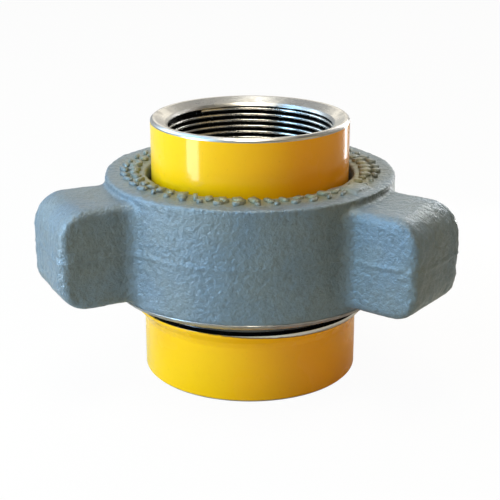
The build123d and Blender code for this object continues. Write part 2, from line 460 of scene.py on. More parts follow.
@dataclass(frozen=True)
class CastPaint(Finish):
    """Thin grey metallic paint over a rough forging."""

    name: str = "nut_paint"
    colour: tuple = (0.122, 0.165, 0.2, 1)
    warm: tuple = (0.165, 0.18, 0.16, 1)
    # painted shade in the pits of the cast surface
    pit_shade: tuple = (0.065, 0.072, 0.068, 1)
    overspray: tuple = (0.22, 0.20, 0.08, 1)
    face_z: float = 105.0  # the top face, where some yellow settled
    settled_from_r: float = 58.0
    settled_to_r: float = 72.0
    pits_per_mm: float = 0.42
    pit_depth: float = 0.95
    specks_per_mm: float = 1.5
    speck_depth: float = 0.22

    def shade(self, graph: Graph, place: Wire) -> Wire:
        """Paint shade into the pits, mottle the flats and let yellow overspray settle near the barrel.

        Args:
            graph: the material's nodes.
            place: Object coordinates.

        Returns:
            The surface shader.
        """
        _, _, z, radius = axis_parts(graph, place)
        cloud = graph.grain(place, 0.04, 4.0).step(0.3, 0.7)
        pits = graph.grain(place, self.pits_per_mm, 4.0, 0.62)
        speck = graph.grain(place, self.specks_per_mm, 3.0, 0.6)
        colour = graph.mix(cloud * 0.45, self.colour, self.warm)
        # painted shade: the low spots of the pit relief are darkened
        colour = graph.mix((1 - pits.step(0.3, 0.55)) * 0.35, colour, self.pit_shade)
        near_barrel = 1 - radius.step(self.settled_from_r, self.settled_to_r)
        settled = near_barrel * (z - self.face_z).step(-1.0, 0.5)
        colour = graph.mix(settled * (0.35 + cloud * 0.4), colour, self.overspray)
        fine = graph.bump(speck, self.speck_depth)
        return graph.node(
            "ShaderNodeBsdfPrincipled",
            {},
            {
                "Base Color": colour,
                "Metallic": 0.3,
                "Roughness": 0.31 + cloud * 0.08,
                "Specular IOR Level": 0.35,
                "Normal": graph.bump(pits, self.pit_depth, fine),
            },
        )


@dataclass(frozen=True)
class SealRubber(Finish):
    """Moulded black nitrile rubber."""

    name: str = "seal_rubber"
    colour: tuple = (0.018, 0.018, 0.019, 1)
    bloom: tuple = (0.05, 0.05, 0.05, 1)

    def shade(self, graph: Graph, place: Wire) -> Wire:
        """Lay a faint grey bloom over black.

        Args:
            graph: the material's nodes.
            place: Object coordinates.

        Returns:
            The surface shader.
        """
        bloom = graph.grain(place, 0.2, 3.0).step(0.4, 0.7)
        return graph.node(
            "ShaderNodeBsdfPrincipled",
            {},
            {
                "Base Color": graph.mix(bloom, self.colour, self.bloom),
                "Roughness": 0.55 + bloom * 0.15,
                "Normal": graph.bump(graph.grain(place, 2.0), 0.02),
            },
        )


# ---------------------------------------------------------------- mesh helpers


def link(name: str, mesh: bpy.types.Mesh, finishes: Iterable[bpy.types.Material]) -> bpy.types.Object:
    """Put a mesh in the scene under its finishes.

    Args:
        name: the piece's name.
        mesh: its mesh.
        finishes: materials to append.

    Returns:
        The piece.
    """
    for finish in finishes:
        mesh.materials.append(finish)
    piece = bpy.data.objects.new(name, mesh)
    bpy.context.scene.collection.objects.link(piece)
    return piece


def turned(x: float, y: float, z: float, turn: float) -> Vector:
    """Turn a spot in millimetres about the axis and give it in metres."""
    c, s = math.cos(turn), math.sin(turn)
    return Vector((x * c - y * s, x * s + y * c, z)) * MM


def soften(corners: Sequence[Point], radius: float, steps: int = 3, most: float = 0.4) -> list[Point]:
    """Round every corner of a closed outline.

    Args:
        corners: the outline's corners in order.
        radius: how far from a corner the round starts.
        steps: spans in each round.
        most: the largest share of a side that a round may take.

    Returns:
        The outline with each corner as a short curve.
    """
    out = []
    count = len(corners)
    for i, corner in enumerate(corners):
        here = Vector(corner)
        before = Vector(corners[i - 1])
        after = Vector(corners[(i + 1) % count])
        reach = min(radius, (before - here).length * most, (after - here).length * most)
        start = here + (before - here).normalized() * reach
        end = here + (after - here).normalized() * reach
        for k in range(steps + 1):
            t = k / steps
            spot = start * (1 - t) ** 2 + here * 2 * t * (1 - t) + end * t**2
            out.append((spot.x, spot.y))
    return out


def lathe(
    name: str,
    outline: Sequence[Point],
    finishes: Sequence[bpy.types.Material],
    pick: Callable[[float, float], Zone] | None = None,
) -> bpy.types.Object:
    """Turn a closed outline of (radius, height) about the axis.

    Args:
        name: the piece's name.
        outline: closed outline in millimetres.
        finishes: its materials.
        pick: gives the finish from the middle of a face; without it all faces take the first.

    Returns:
        The turned piece.
    """
    mesh = bpy.data.meshes.new(name)
    count = len(outline)
    spots = []
    for k in range(LATHE_STEPS):
        spots += [turned(r, 0.0, z, TURN * k / LATHE_STEPS) for r, z in outline]
    faces = []
    picks = []
    for k in range(LATHE_STEPS):
        this, following = k * count, ((k + 1) % LATHE_STEPS) * count
        for i in range(count):
            j = (i + 1) % count
            faces.append((this + i, following + i, following + j, this + j))
            middle = ((outline[i][0] + outline[j][0]) / 2, (outline[i][1] + outline[j][1]) / 2)
            picks.append(pick(*middle).value if pick else 0)
    mesh.from_pydata(spots, [], faces)
    mesh.polygons.foreach_set("material_index", picks)
    clean(mesh)
    mesh.shade_smooth()
    mesh.set_sharp_from_angle(angle=TURNED_EDGE)
    return link(name, mesh, finishes)


def clean(mesh: bpy.types.Mesh) -> None:
    """Merge doubles and point every face outwards.

    Args:
        mesh: the mesh to mend in place.
    """
    work = bmesh.new()
    work.from_mesh(mesh)
    bmesh.ops.remove_doubles(work, verts=work.verts, dist=MERGE_GAP)
    bmesh.ops.recalc_face_normals(work, faces=work.faces)
    work.to_mesh(mesh)
    work.free()


def bake(piece: bpy.types.Object, name: str) -> bpy.types.Mesh:
    """Take the evaluated mesh of a piece and delete the piece.

    Args:
        piece: the object with its modifiers.
        name: the new mesh's name.

    Returns:
        The plain mesh.
    """
    evaluated = piece.evaluated_get(bpy.context.evaluated_depsgraph_get())
    mesh = bpy.data.meshes.new_from_object(evaluated)
    mesh.name = name
    bpy.data.objects.remove(piece)
    return mesh


class GeometryTree:
    """A Geometry Nodes group with named inputs, run once on a blank object."""

    def __init__(self, name: str) -> None:
        """Make the group with its geometry output.

        Args:
            name: the group's name.
        """
        self.tree = bpy.data.node_groups.new(name, "GeometryNodeTree")
        self.tree.interface.new_socket("Geometry", in_out="OUTPUT", socket_type="NodeSocketGeometry")
        self.graph = Graph(self.tree)
        self.values: dict[str, Any] = {}
        self.inlet = self.tree.nodes.new("NodeGroupInput")

    def size(self, name: str, value: Any, kind: str = "NodeSocketFloat") -> Wire:
        """Declare a named input with its value.

        Args:
            name: the input's name.
            value: what it holds.
            kind: type of its socket.

        Returns:
            The input as a wire.
        """
        socket = self.tree.interface.new_socket(name, in_out="INPUT", socket_type=kind)
        self.values[socket.identifier] = value
        return Wire(self.graph, self.inlet.outputs[name])

    def run(self, shape: Wire, finish: bpy.types.Material, name: str) -> bpy.types.Mesh:
        """Realize the shape, set its material and evaluate it.

        Args:
            shape: the geometry that the tree has made.
            finish: its material.
            name: the mesh's name.

        Returns:
            The plain mesh.
        """
        solid = self.graph.node("GeometryNodeRealizeInstances", {}, {0: shape})
        dressed = self.graph.node("GeometryNodeSetMaterial", {}, {"Geometry": solid, "Material": finish})
        self.graph.node("NodeGroupOutput", {}, {"Geometry": dressed})
        host = bpy.data.objects.new(name, bpy.data.meshes.new(name))
        bpy.context.scene.collection.objects.link(host)
        modifier = host.modifiers.new("tree", "NODES")
        modifier.node_group = self.tree
        for identifier, value in self.values.items():
            modifier[identifier] = value
        return bake(host, name)


@dataclass
class ThreadRidge:
    """A helical ridge on a turned wall, made by one Geometry Nodes tree."""

    name: str
    pitch: float
    turns: float
    wall_r: float
    foot_z: float
    height: float
    root_half: float
    crest_half: float
    wall: Wall
    taper: float = 0.0  # radius gained for each millimetre upwards
    run_out: float = 0.02  # share of the length over which the ridge rises from the wall
    end_share: float = 0.02  # share of its size that the ridge has at its very ends
    start_angle: float = 0.0
    sink: float = 0.15
    crest_steps: int = 1  # spans across the crest; more than one rounds it

    def mesh(self, finish: bpy.types.Material) -> bpy.types.Mesh:
        """Sweep the ridge's section along its spiral.

        Args:
            finish: material of the ridge.

        Returns:
            The ridge as a closed mesh.
        """
        tree = GeometryTree(self.name + "_tree")
        graph = tree.graph
        rise = self.turns * self.pitch
        turns = tree.size("Turns", self.turns)
        start_r = tree.size("Start Radius", self.wall_r * MM)
        end_r = tree.size("End Radius", (self.wall_r + rise * self.taper) * MM)
        height = tree.size("Rise", rise * MM)
        foot = tree.size("Foot Height", self.foot_z * MM)
        angle = tree.size("Start Angle", self.start_angle)
        spiral = graph.node(
            "GeometryNodeCurveSpiral",
            {},
            {"Resolution": RIDGE_STEPS, "Rotations": turns, "Start Radius": start_r, "End Radius": end_r,
             "Height": height, "Reverse": True},
        )
        offset = graph.node("ShaderNodeCombineXYZ", {}, {2: foot})
        twist = graph.node("ShaderNodeCombineXYZ", {}, {2: angle})
        placed = graph.node(
            "GeometryNodeTransform", {}, {"Geometry": spiral, "Translation": offset, "Rotation": twist}
        )
        upright = graph.node("GeometryNodeSetCurveNormal", {"mode": "Z_UP"}, {"Curve": placed})
        along = graph.node("GeometryNodeSplineParameter", out="Factor")
        rising = along.step(0.0, self.run_out) * (1 - along.step(1 - self.run_out, 1.0))
        swell = self.end_share + rising * (1 - self.end_share)
        swollen = graph.node("GeometryNodeSetCurveRadius", {}, {"Curve": upright, "Radius": swell})
        section = graph.node("GeometryNodeObjectInfo", {}, {"Object": self._section()}, out="Geometry")
        ridge = graph.node(
            "GeometryNodeCurveToMesh",
            {},
            {"Curve": swollen, "Profile Curve": section, "Fill Caps": True},
        )
        mesh = tree.run(ridge, finish, self.name)
        clean(mesh)
        mesh.shade_smooth()
        mesh.set_sharp_from_angle(angle=THREAD_EDGE)
        return mesh

    def _section(self) -> bpy.types.Object:
        """The ridge's section as a closed curve object, root sunk a little into the wall."""
        out = self.wall.value
        corners = [(-self.sink * out, -self.root_half)]
        for k in range(self.crest_steps + 1):
            across = 2 * k / self.crest_steps - 1
            fall = 1 - math.cos(across * math.pi / 2) if self.crest_steps > 1 else 0.0
            up = self.crest_half * math.sin(across * math.pi / 2)
            corners.append(((self.height - self.crest_half * fall) * out, up))
        corners.append((-self.sink * out, self.root_half))
        curve = bpy.data.curves.new(self.name + "_section", "CURVE")
        curve.dimensions = "2D"
        spline = curve.splines.new("POLY")
        spline.points.add(len(corners) - 1)
        for point, (across, up) in zip(spline.points, corners):
            point.co = (across * MM, up * MM, 0, 1)
        spline.use_cyclic_u = True
        holder = bpy.data.objects.new(self.name + "_section", curve)
        bpy.context.scene.collection.objects.link(holder)
        holder.hide_render = True
        return holder


# ---------------------------------------------------------------- the union's pieces


@dataclass
class PipeMouth:
    """Countersunk mouth with a tapered pipe thread; depths run inwards from the rim."""

    recess_r: float = 48.2
    recess_depth: float = 4.2
    step_r: float = 43.6
    step_depth: float = 2.5
    step_ease: Point = (0.3, 0.12)
    first_crest_r: float = 41.8
    flank_depth: float = 1.2
    flank_ease: float = 0.05
    mouth_r: float = 44.2
    thread_length: float = 24.6
    taper: float = 1 / 32
    runout: float = 4.0
    bore_r: float = 39.0
    pitch: float = 3.175
    ridge_height: float = 2.35
    root_share: float = 0.47  # half width of the ridge's root, as a share of the pitch
    crest_half: float = 0.62
    crest_steps: int = 8
    run_out: float = 0.05

    def outline(self, rim: float, inwards: float) -> list[Point]:
        """Give the mouth's corners from the rim inwards.

        Args:
            rim: height of the rim.
            inwards: -1 for a mouth that opens up, 1 for one that opens down.

        Returns:
            Corners as (radius, height).
        """
        ease_in, ease_down = self.step_ease
        end_r = self.mouth_r - self.thread_length * self.taper
        stations = [
            (self.recess_r, 0.0),
            (self.step_r, self.step_depth),
            (self.step_r - ease_in, self.step_depth + ease_down),
            (self.first_crest_r, self.recess_depth),
            (self.mouth_r - self.flank_ease, self.recess_depth + self.flank_depth),
            (end_r, self.recess_depth + self.thread_length),
            (self.bore_r, self.recess_depth + self.thread_length + self.runout),
        ]
        return [(r, rim + inwards * depth) for r, depth in stations]

    def threaded_at(self, radius: float, depth: float) -> bool:
        """Tell whether a spot lies on the threaded wall."""
        inside = self.recess_depth < depth < self.recess_depth + self.thread_length
        return inside and radius < self.mouth_r + NEAR

    def ridge(self, name: str, rim: float, opens_up: bool) -> ThreadRidge:
        """Give the mouth's thread as a ridge from its low end to its high end.

        Args:
            name: the ridge's name.
            rim: height of the rim.
            opens_up: whether the mouth opens upwards.

        Returns:
            The ridge.
        """
        low_depth = self.recess_depth + (self.thread_length if opens_up else self.flank_depth)
        return ThreadRidge(
            name,
            pitch=self.pitch,
            turns=(self.thread_length - self.flank_depth) / self.pitch,
            wall_r=self.mouth_r - (self.thread_length * self.taper if opens_up else 0.0),
            foot_z=rim - low_depth if opens_up else rim + low_depth,
            height=self.ridge_height,
            root_half=self.pitch * self.root_share,
            crest_half=self.crest_half,
            wall=Wall.INWARD,
            taper=self.taper if opens_up else -self.taper,
            run_out=self.run_out,
            crest_steps=self.crest_steps,
        )


@dataclass(frozen=True)
class UnionThread:
    """The coarse right-handed thread between the threaded sub and the nut."""

    pitch: float = 6.35
    run_out: float = 0.04
    foot: float = 42.3  # height at which the sub's ridge starts
    start: float = math.pi  # angle at which it starts
    sub_root_r: float = 57.7
    sub_height: float = 3.3
    sub_root_share: float = 0.32  # half width of the ridge's root, as a share of the pitch
    sub_crest_share: float = 0.185
    sub_top_gap: float = 1.5
    nut_root_r: float = 61.4
    nut_minor_r: float = 58.3
    nut_root_share: float = 0.27
    nut_crest_share: float = 0.145
    nut_lead_in: float = 1.9  # from the nut's foot up to its ridge
    nut_top: float = 69.3  # height at which the nut's ridge ends

    def sub_ridge(self, top: float) -> ThreadRidge:
        """Give the ridge outside the threaded sub.

        Args:
            top: height of the sub's end face.

        Returns:
            The ridge.
        """
        return ThreadRidge(
            "union_thread",
            pitch=self.pitch,
            turns=(top - self.sub_top_gap - self.foot) / self.pitch,
            wall_r=self.sub_root_r,
            foot_z=self.foot,
            height=self.sub_height,
            root_half=self.pitch * self.sub_root_share,
            crest_half=self.pitch * self.sub_crest_share,
            wall=Wall.OUTWARD,
            run_out=self.run_out,
            start_angle=self.start,
        )

    def nut_ridge(self, nut_foot: float) -> ThreadRidge:
        """Give the ridge inside the nut, midway between the sub's turns.

        Args:
            nut_foot: height of the nut's foot.

        Returns:
            The ridge.
        """
        low = nut_foot + self.nut_lead_in
        lead = (low - self.foot) / self.pitch + 0.5
        return ThreadRidge(
            "nut_thread",
            pitch=self.pitch,
            turns=(self.nut_top - low) / self.pitch,
            wall_r=self.nut_root_r,
            foot_z=low,
            height=self.nut_root_r - self.nut_minor_r,
            root_half=self.pitch * self.nut_root_share,
            crest_half=self.pitch * self.nut_crest_share,
            wall=Wall.INWARD,
            run_out=self.run_out,
            start_angle=self.start + TURN * lead,
        )


@dataclass
class ThreadedEnd:
    """The threaded sub with its pipe thread, union thread and seal ring."""

    enamel: bpy.types.Material
    steel: bpy.types.Material
    thread: bpy.types.Material
    rubber: bpy.types.Material
    mouth: PipeMouth
    union: UnionThread
    barrel_r: float = 55.9
    barrel_top: float = 31.8
    swell: tuple = ((0.0, -2.6), (1.3, 0.6))  # from the barrel's top edge out to the collar
    collar_foot: float = 36.4
    collar_edge: tuple = ((-0.6, -0.5), (0.0, 0.3))  # round the collar's foot
    relief_foot: float = 38.2
    relief_rise: float = 0.5
    relief_top: float = 44.4
    seat_foot: float = 46.0
    seat_mouth_r: float = 49.26
    rim_bevel: float = 1.2
    corner_round: float = 0.35
    groove_r: float = 49.8
    groove_gap: float = 0.05
    seal_z: float = 58.0
    seal_half: float = 2.55
    seal_lip: float = 0.8
    seal_round: float = 0.4
    foot: float = field(init=False)
    top: float = field(init=False)
    crest_r: float = field(init=False)

    def __post_init__(self) -> None:
        """Take the sub's heights and its widest radius from the frame."""
        low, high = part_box("threaded_sub")
        self.foot = low.z / MM
        self.top = high.z / MM
        self.crest_r = high.x / MM

    def build(self) -> list[bpy.types.Object]:
        """Make the sub, its two threads and the ring."""
        sub = lathe(
            "threaded_sub_turned",
            soften(self._outline(), self.corner_round),
            (self.enamel, self.steel, self.thread),
            self._zone,
        )
        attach(sub, Body.THREADED_END.value)
        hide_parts("threaded_sub")

        union = link("union_thread", self.union.sub_ridge(self.top).mesh(self.thread), ())
        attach(union, Body.THREADED_END.value)

        ridge = self.mouth.ridge("lower_pipe_thread", self.foot, opens_up=False)
        pipe = link("lower_pipe_thread", ridge.mesh(self.thread), ())
        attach(pipe, Body.THREADED_END.value)

        ring = lathe("seal_ring_moulded", soften(self._seal(), self.seal_round), (self.rubber,))
        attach(ring, Body.THREADED_END.value)
        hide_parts("seal_ring")
        return [sub, union, pipe, ring]

    def _seat_r(self, z: float) -> float:
        """Radius of the conical seat at a height."""
        slope = (self.seat_mouth_r - self.mouth.bore_r) / (self.top - self.seat_foot)
        return self.mouth.bore_r + (z - self.seat_foot) * slope

    def _outline(self) -> list[Point]:
        """The sub's corners, up the outside and down the inside."""
        groove_foot = self.seal_z - self.seal_half - self.groove_gap
        groove_top = self.seal_z + self.seal_half + self.groove_gap
        swell = [(self.barrel_r + out, self.barrel_top + up) for out, up in self.swell]
        edge = [(self.crest_r + out, self.collar_foot + up) for out, up in self.collar_edge]
        outside = [
            (self.barrel_r - self.rim_bevel, 0.0),
            (self.barrel_r, self.rim_bevel),
            *swell,
            *edge,
            (self.crest_r, self.relief_foot),
            (self.union.sub_root_r, self.relief_foot + self.relief_rise),
            (self.union.sub_root_r, self.relief_top),
            (self.union.sub_root_r, self.top),
        ]
        seat = [
            (self.seat_mouth_r, self.top),
            (self._seat_r(groove_top), groove_top),
            (self.groove_r, groove_top),
            (self.groove_r, groove_foot),
            (self._seat_r(groove_foot), groove_foot),
            (self.mouth.bore_r, self.seat_foot),
        ]
        return outside + seat + self.mouth.outline(self.foot, 1.0)[::-1]

    def _seal(self) -> list[Point]:
        """The ring's corners, flush with the seat but for a bevel at its upper edge."""
        foot = self.seal_z - self.seal_half
        top = self.seal_z + self.seal_half
        back_r = self.groove_r - self.groove_gap
        return [
            (back_r, foot),
            (back_r, top),
            (self._seat_r(top) + self.seal_lip, top),
            (self._seat_r(top - self.seal_lip), top - self.seal_lip),
            (self._seat_r(foot), foot),
        ]

    def _zone(self, r: float, z: float) -> Zone:
        """Put enamel outside up to the collar, thread steel above it and bare steel inside.

        Args:
            r: radius of the middle of a face.
            z: its height.

        Returns:
            The zone that the face is in.
        """
        if r > self.barrel_r - self.corner_round and z < self.relief_foot - NEAR:
            return Zone.PAINTED
        if r > self.union.sub_root_r - self.corner_round or self.mouth.threaded_at(r, z - self.foot):
            return Zone.THREADED
        return Zone.BARE


@dataclass
class NoseEnd:
    """The nose sub with its pipe thread."""

    enamel: bpy.types.Material
    steel: bpy.types.Material
    thread: bpy.types.Material
    mouth: PipeMouth
    barrel_r: float = 50.8
    rim_bevel: float = 1.2
    paint_edge: float = 1.9  # bare steel below the rim
    neck: float = 90.07
    neck_swell: tuple = ((0.0, 2.0), (1.2, -1.0))  # from the barrel out to the shoulder
    shoulder_top: float = 84.2
    shoulder_foot: float = 70.5
    shoulder_bevel: float = 1.2
    nose_root_r: float = 50.78
    nose_tip_r: float = 40.42
    corner_round: float = 0.3
    tip: float = field(init=False)
    top: float = field(init=False)
    shoulder_r: float = field(init=False)
    paint_top: float = field(init=False)

    def __post_init__(self) -> None:
        """Take the sub's heights and its widest radius from the frame."""
        low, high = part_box("nose_sub")
        self.tip = low.z / MM
        self.top = high.z / MM
        self.shoulder_r = high.x / MM
        self.paint_top = self.top - self.paint_edge

    def build(self) -> list[bpy.types.Object]:
        """Make the sub and its thread."""
        sub = lathe(
            "nose_sub_turned",
            soften(self._outline(), self.corner_round),
            (self.enamel, self.steel, self.thread),
            self._zone,
        )
        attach(sub, Body.NOSE_END.value)
        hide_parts("nose_sub")

        ridge = self.mouth.ridge("upper_pipe_thread", self.top, opens_up=True)
        pipe = link("upper_pipe_thread", ridge.mesh(self.thread), ())
        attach(pipe, Body.NOSE_END.value)
        return [sub, pipe]

    def _outline(self) -> list[Point]:
        """The sub's corners, down the outside and up the inside."""
        outside = [
            (self.barrel_r - self.rim_bevel, self.top),
            (self.barrel_r, self.top - self.rim_bevel),
            (self.barrel_r, self.paint_top),
            *[(self.barrel_r + out, self.neck + up) for out, up in self.neck_swell],
            (self.shoulder_r, self.shoulder_top),
            (self.shoulder_r, self.shoulder_foot + self.shoulder_bevel),
            (self.shoulder_r - self.shoulder_bevel, self.shoulder_foot),
            (self.nose_root_r, self.shoulder_foot),
            (self.nose_tip_r, self.tip),
            (self.mouth.bore_r, self.tip),
        ]
        return outside + self.mouth.outline(self.top, -1.0)[::-1]

    def _zone(self, r: float, z: float) -> Zone:
        """Put enamel on the barrel, thread steel in the mouth and bare steel elsewhere.

        Args:
            r: radius of the middle of a face.
            z: its height.

        Returns:
            The zone that the face is in.
        """
        if r > self.barrel_r - NEAR and self.neck < z < self.paint_top - NEAR:
            return Zone.PAINTED
        return Zone.THREADED if self.mouth.threaded_at(r, self.top - z) else Zone.BARE


@dataclass
class Lug:
    """One hammer lug of the forging, along +X before it is turned into place."""

    heel_x: float = 64.0
    root_half: float = 21.1
    tip_half: float = 22.7
    foot: float = 51.0
    top: float = 101.6
    top_round: float = 15.5
    foot_round: float = 14.0
    root_round: float = 10.0
    edge_round: float = 4.5
    stations: int = 44
    corner_steps: int = 6

    def sections(self, tip_x: float, body_r: float) -> list[list[Vector]]:
        """Give rounded sections from the heel to the tip.

        Args:
            tip_x: distance of the end face from the axis.
            body_r: radius of the nut's round wall.

        Returns:
            One closed loop of points for each station.
        """
        loops = []
        for k in range(self.stations + 1):
            t = k / self.stations
            x = self.heel_x + (tip_x - self.heel_x) * math.sin(t * math.pi / 2)
            past_body = max(0.0, x - body_r) / (tip_x - body_r)
            half = self.root_half + (self.tip_half - self.root_half) * past_body
            half += self._flare(x, body_r) - self._fall(x, tip_x, self.edge_round)
            low = self.foot + self._fall(x, tip_x, self.foot_round)
            high = self.top - self._fall(x, tip_x, self.top_round)
            loops.append(self._loop(x, half, low, high))
        return loops

    def _flare(self, x: float, body_r: float) -> float:
        """Give how far the root round widens the lug at this station.

        Args:
            x: distance from the axis.
            body_r: radius of the nut's round wall.

        Returns:
            The widening of each side.
        """
        centre_y = self.root_half + self.root_round
        centre_x = math.sqrt((body_r + self.root_round) ** 2 - centre_y**2)
        across = centre_x - x
        if across <= 0:
            return 0.0
        if across >= self.root_round:
            return self.root_round
        return self.root_round - math.sqrt(self.root_round**2 - across**2)

    @staticmethod
    def _fall(x: float, tip_x: float, radius: float) -> float:
        """Give how far a round of this radius at the tip has drawn in at this station."""
        past = x - (tip_x - radius)
        return radius - math.sqrt(max(0.0, radius**2 - past**2)) if past > 0 else 0.0

    def _loop(self, x: float, half: float, low: float, high: float) -> list[Vector]:
        """Draw a rounded rectangle across the lug.

        Args:
            x: distance from the axis.
            half: half width.
            low: lower edge.
            high: upper edge.

        Returns:
            The loop's points.
        """
        radius = min(self.edge_round, half, (high - low) / 2)
        centres = [
            (half - radius, high - radius),
            (-half + radius, high - radius),
            (-half + radius, low + radius),
            (half - radius, low + radius),
        ]
        loop = []
        for quarter, (y, z) in enumerate(centres):
            for k in range(self.corner_steps + 1):
                turn = (quarter + k / self.corner_steps) * math.pi / 2
                loop.append(Vector((x, y + radius * math.cos(turn), z + radius * math.sin(turn))))
        return loop

    def add_to(self, work: bmesh.types.BMesh, tip_x: float, body_r: float, turn: float) -> None:
        """Add the lug to a mesh, turned about the axis.

        Args:
            work: the mesh that gains the lug.
            tip_x: distance of the end face from the axis.
            body_r: radius of the nut's round wall.
            turn: the lug's bearing in radians.
        """
        rows = [
            [work.verts.new(turned(p.x, p.y, p.z, turn)) for p in loop]
            for loop in self.sections(tip_x, body_r)
        ]
        count = len(rows[0])
        for before, after in zip(rows, rows[1:]):
            for i in range(count):
                j = (i + 1) % count
                work.faces.new((before[i], before[j], after[j], after[i]))
        work.faces.new(rows[0][::-1])
        work.faces.new(rows[-1])


@dataclass(frozen=True)
class MarkRing:
    """One ring of raised bars."""

    radius: float
    count: int
    length: float  # along the radius
    width: float


@dataclass
class CastMarks:
    """Rings of raised plain bars on the nut's top face, in place of any lettering."""

    seed: int = 11
    rise: float = 1.5
    ease: float = 0.22
    rings: tuple = (MarkRing(59.4, 52, 6.4, 4.4), MarkRing(64.6, 44, 3.4, 4.6))
    least: tuple = (0.45, 0.45, 0.8)  # smallest share of length, width and rise
    most: tuple = (1.08, 1.3, 1.15)
    lean: float = 0.2
    wave_per_mm: float = 0.35
    wave: float = 0.35

    def mesh(self, top: float, finish: bpy.types.Material) -> bpy.types.Mesh:
        """Make every ring, with the edges of the bars eased.

        Args:
            top: height of the nut's top face.
            finish: material of the marks.

        Returns:
            The rings of marks as one mesh.
        """
        work = bmesh.new()
        for k, ring in enumerate(self.rings):
            work.from_mesh(self._ring(ring, top, self.seed + k, finish))
        bmesh.ops.bevel(work, geom=work.edges, offset=self.ease * MM, segments=2, affect="EDGES")
        for vert in work.verts:
            spot = vert.co / MM
            vert.co.z += noise.noise(spot * self.wave_per_mm) * self.wave * MM
        marks = bpy.data.meshes.new("nut_cast_marks")
        work.to_mesh(marks)
        work.free()
        clean(marks)
        marks.shade_smooth()
        return marks

    def _ring(self, ring: MarkRing, top: float, seed: int, finish: bpy.types.Material) -> bpy.types.Mesh:
        """Instance bars of random size and lean on a circle.

        Args:
            ring: the ring's sizes.
            top: height of the nut's top face.
            seed: fixes the random draws.
            finish: material of the marks.

        Returns:
            The ring as a mesh.
        """
        tree = GeometryTree("cast_marks_tree")
        graph = tree.graph
        radius = tree.size("Ring Radius", ring.radius * MM)
        count = tree.size("Count", ring.count, "NodeSocketInt")
        height = tree.size("Face Height", top * MM)
        rise = tree.size("Rise", self.rise * MM)
        long = tree.size("Length", ring.length * MM)
        wide = tree.size("Width", ring.width * MM)
        draw = tree.size("Seed", seed, "NodeSocketInt")
        circle = graph.node(
            "GeometryNodeCurvePrimitiveCircle", {"mode": "RADIUS"}, {"Resolution": count, "Radius": radius}
        )
        lift = graph.node("ShaderNodeCombineXYZ", {}, {2: height})
        raised = graph.node("GeometryNodeTransform", {}, {"Geometry": circle, "Translation": lift})
        points = graph.node("GeometryNodeCurveToPoints", {"mode": "EVALUATED"}, {"Curve": raised})
        bar_size = graph.node("ShaderNodeCombineXYZ", {}, {0: long, 1: wide, 2: rise * 2.0})
        bar = graph.node("GeometryNodeMeshCube", {}, {"Size": bar_size})
        index = graph.node("GeometryNodeInputIndex")
        stretch = graph.node(
            "FunctionNodeRandomValue",
            {"data_type": "FLOAT_VECTOR"},
            {0: self.least, 1: self.most, "ID": index, "Seed": draw},
        )
        lean = graph.node(
            "FunctionNodeRandomValue",
            {"data_type": "FLOAT"},
            {2: -self.lean, 3: self.lean, "ID": index, "Seed": draw},
        )
        place = graph.node("GeometryNodeInputPosition")
        x, y, _, _ = axis_parts(graph, place)
        bearing = graph.node("ShaderNodeMath", {"operation": "ARCTAN2"}, {0: y, 1: x})
        turn = graph.node("ShaderNodeCombineXYZ", {}, {2: bearing + lean})
        marks = graph.node(
            "GeometryNodeInstanceOnPoints",
            {},
            {"Points": points, "Instance": bar, "Rotation": turn, "Scale": stretch},
        )
        return tree.run(marks, finish, "cast_marks")


@dataclass(frozen=True)
class CastSkin:
    """How far the cast surfaces stray from true, and how closely the waves lie."""

    wave_per_mm: float = 0.055
    wave: float = 0.45
    bump_per_mm: float = 0.24
    bump: float = 0.17
    bump_octaves: tuple = (0.9, 2.1, 3)
    tip_depth: float = 7.0  # the lugs' ends, which are rougher
    tip_per_mm: float = 0.2
    tip_bump: float = 0.4
    tip_octaves: tuple = (0.7, 2.0, 3)
    tip_steep: float = 0.55  # a normal that rises less than this is on an upright wall
    wall_steep: float = 0.6
    face_flat: float = 0.7  # one that rises more than this is on a level face
    face_per_mm: float = 0.33
    face_bump: float = 0.35
    face_depth: float = 1.5
    flash_z: float = 76.8
    flash_rise: float = 0.55
    flash_half: float = 0.75
    flash_per_mm: float = 0.05
    flash_wander: float = 0.8

    def push(self, spot: Vector, normal: Vector, nut: "WingNut") -> float:
        """Give how far a spot of the skin moves along its normal.

        Args:
            spot: the place in millimetres.
            normal: the skin's normal there.
            nut: the nut whose sizes say which surface the spot is on.

        Returns:
            The move in millimetres.
        """
        radius = math.hypot(spot.x, spot.y)
        facing_up = abs(normal.z)
        push = noise.noise(spot * self.wave_per_mm) * self.wave
        push += noise.fractal(spot * self.bump_per_mm, *self.bump_octaves) * self.bump
        if radius > nut.tip_x - self.tip_depth and facing_up < self.tip_steep:
            push += noise.fractal(spot * self.tip_per_mm, *self.tip_octaves) * self.tip_bump
        if radius > nut.body_r - self.face_depth and facing_up < self.wall_steep:
            middle = self.flash_z + noise.noise(spot * self.flash_per_mm) * self.flash_wander
            push += self.flash_rise * math.exp(-(((spot.z - middle) / self.flash_half) ** 2))
        if normal.z > self.face_flat and spot.z > nut.top - self.face_depth:
            push += noise.noise(spot * self.face_per_mm) * self.face_bump
        return push


